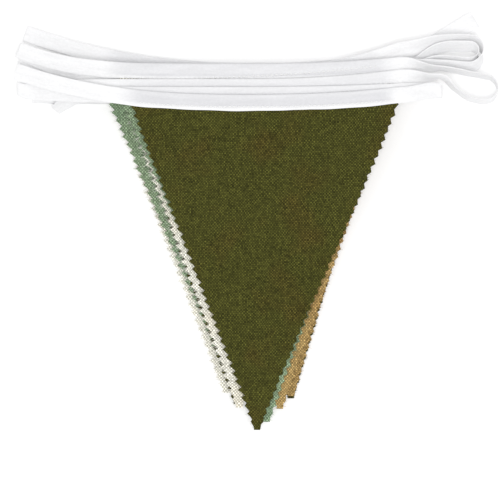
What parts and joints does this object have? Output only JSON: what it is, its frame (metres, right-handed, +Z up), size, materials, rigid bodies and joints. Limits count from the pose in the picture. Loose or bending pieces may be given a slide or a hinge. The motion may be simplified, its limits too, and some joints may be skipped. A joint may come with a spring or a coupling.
{
  "type": "fabric bunting",
  "caption": "String of triangular cloth pennants with pinked edges, hung in a folded white tape, folded up in a flat stack with the tape's turns sticking out on both sides.",
  "frame": {"origin": "under the middle of the folded bunting, on the plane that it lies on", "axes": "+X along the tape, +Y from the pennants' tips to the tape, +Z up, away from the plane that it lies on"},
  "size_m": [0.3106, 0.2684, 0.0274],
  "materials": {
    "olive_cloth": "open plain weave, matt",
    "sage_cloth": "open plain weave, matt",
    "gold_cloth": "open plain weave, matt",
    "cream_cloth": "open plain weave, matt",
    "white_tape": "smooth tape, soft sheen"
  },
  "bodies": {
    "root": {"tape": "white_tape", "pennant_1_olive": "olive_cloth", "pennant_2_sage": "sage_cloth", "pennant_3_gold": "gold_cloth", "pennant_4_cream": "cream_cloth", "pennant_5_olive": "olive_cloth", "pennant_6_sage": "sage_cloth", "pennant_7_gold": "gold_cloth", "pennant_8_cream": "cream_cloth", "pennant_9_olive": "olive_cloth"}
  },
  "joints": []
}
